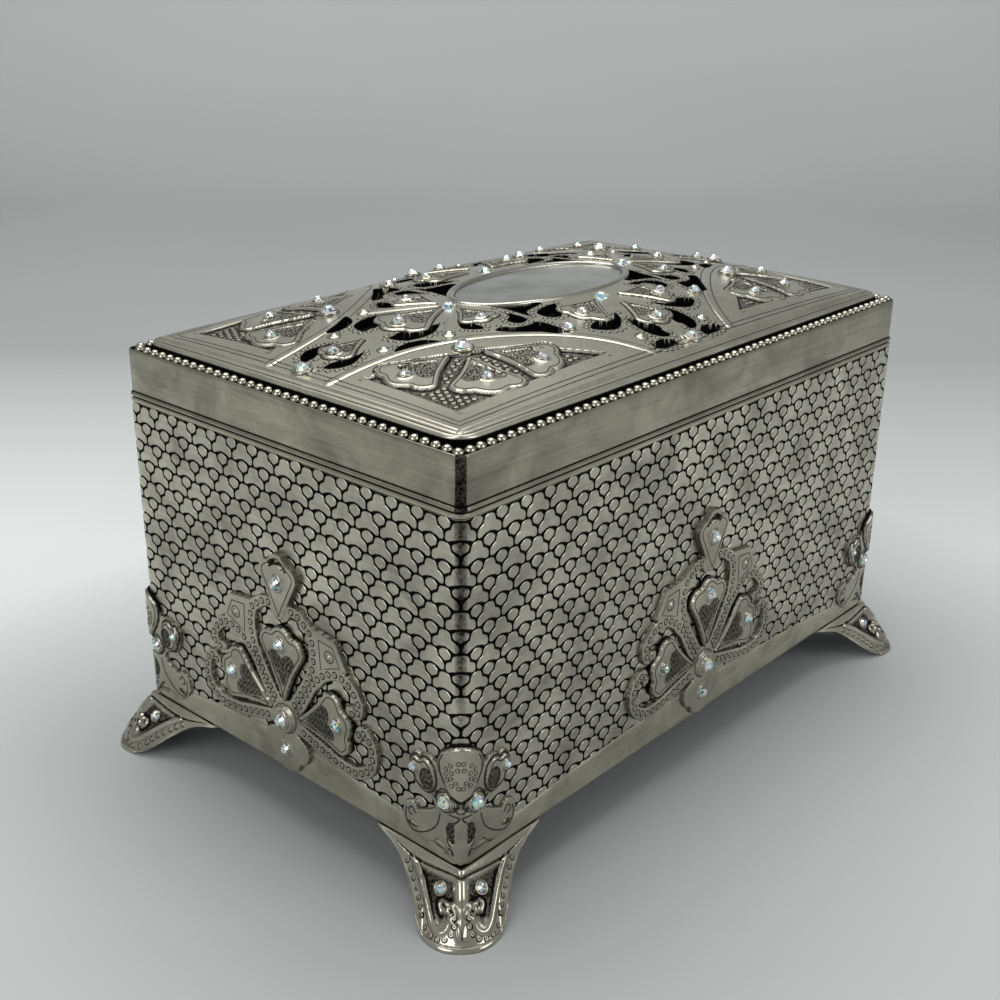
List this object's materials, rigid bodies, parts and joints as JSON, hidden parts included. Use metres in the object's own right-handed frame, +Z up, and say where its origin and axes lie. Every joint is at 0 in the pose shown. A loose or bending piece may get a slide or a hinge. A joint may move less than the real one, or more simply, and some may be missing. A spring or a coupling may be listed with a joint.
{
  "type": "musical jewelry box",
  "caption": "Footed cast-metal keepsake box with a domed pierced crystal-set lid hinged at the back, a velvet lining and a wind-up musical movement.",
  "frame": {"origin": "middle of the footprint, on the floor that the feet stand on", "axes": "+X along the long side, to the right seen from the front; front along -Y, hinges along +Y; +Z up"},
  "size_m": [0.2056, 0.1372, 0.1239],
  "materials": {
    "antique_metal": "antique nickel casting, brushed highs over black patina",
    "dark_metal": "dark satin",
    "bright_metal": "bright satin",
    "brass": "satin",
    "steel": "satin",
    "velvet": "velvet",
    "crystal": "cut, foil-backed"
  },
  "bodies": {
    "case": {"case_walls": "antique_metal", "base_plate": "dark_metal", "base_screw_1": "steel", "base_screw_2": "steel", "base_screw_3": "steel", "base_screw_4": "steel", "foot_back_right": "antique_metal", "foot_back_left": "antique_metal", "foot_front_left": "antique_metal", "foot_front_right": "antique_metal", "medallion_front": "antique_metal", "medallion_right": "antique_metal", "medallion_back": "antique_metal", "medallion_left": "antique_metal", "corner_ornament_back_right": "antique_metal", "corner_ornament_back_left": "antique_metal", "corner_ornament_front_left": "antique_metal", "corner_ornament_front_right": "antique_metal", "lining_tray": "velvet", "cover_board": "velvet", "ring_roll_1": "velvet", "ring_roll_2": "velvet", "ring_roll_3": "velvet", "ring_roll_4": "velvet", "movement_bedplate": "brass", "bedplate_screw_1": "steel", "bedplate_screw_2": "steel", "comb": "steel", "comb_screw_1": "steel", "comb_screw_2": "steel", "hinge_case_leaf_left": "antique_metal", "hinge_case_leaf_right": "antique_metal", "hinge_pin_left": "steel", "hinge_pin_right": "steel"},
    "lid": {"lid_frame": "antique_metal", "beaded_rim": "antique_metal", "lid_top": "antique_metal", "oval_rim": "bright_metal", "oval_plate": "antique_metal", "lid_backing": "dark_metal", "lid_lining": "velvet", "crystal_right": "crystal", "crystal_back": "crystal", "crystal_left": "crystal", "crystal_front": "crystal", "hinge_lid_leaf_left": "antique_metal", "hinge_lid_leaf_right": "antique_metal"},
    "drive": {"winding_key": "bright_metal", "winding_arbor": "steel", "drive_wheel": "brass", "spring_barrel": "brass", "mainspring": "steel"},
    "cylinder": {"cylinder_arbor": "steel", "pinned_cylinder": "brass", "cylinder_pinion": "brass", "cylinder_wheel": "brass"},
    "governor": {"governor_arbor": "steel", "governor_fan": "brass"},
    "stop_rod": {"stop_rod": "steel"}
  },
  "joints": [
    {"name": "lid_hinge", "type": "hinge", "parent": "case", "child": "lid", "pos_m": [0, 0.0601, 0.09995], "axis": [-1, 0, 0], "range_deg": [0, 100]},
    {"name": "key_turn", "type": "hinge", "parent": "case", "child": "drive", "pos_m": [-0.061, -0.022, 0.02], "axis": [0, 0, 1], "continuous": true},
    {"name": "cylinder_turn", "type": "hinge", "parent": "case", "child": "cylinder", "pos_m": [-0.061, 0, 0.02925], "axis": [0, 1, 0], "continuous": true},
    {"name": "governor_turn", "type": "hinge", "parent": "case", "child": "governor", "pos_m": [-0.06691, 0, 0.03769], "axis": [0, 1, 0], "continuous": true},
    {"name": "stop_rod_slide", "type": "slide", "parent": "case", "child": "stop_rod", "axis": [0, 0, 1], "range_m": [0, 0.003]}
  ],
  "couplings": [
    {"joint": "cylinder_turn", "follows": "key_turn", "ratio": 3},
    {"joint": "governor_turn", "follows": "key_turn", "ratio": -9},
    {"joint": "stop_rod_slide", "follows": "lid_hinge", "m_per_rad": 0.001718}
  ]
}
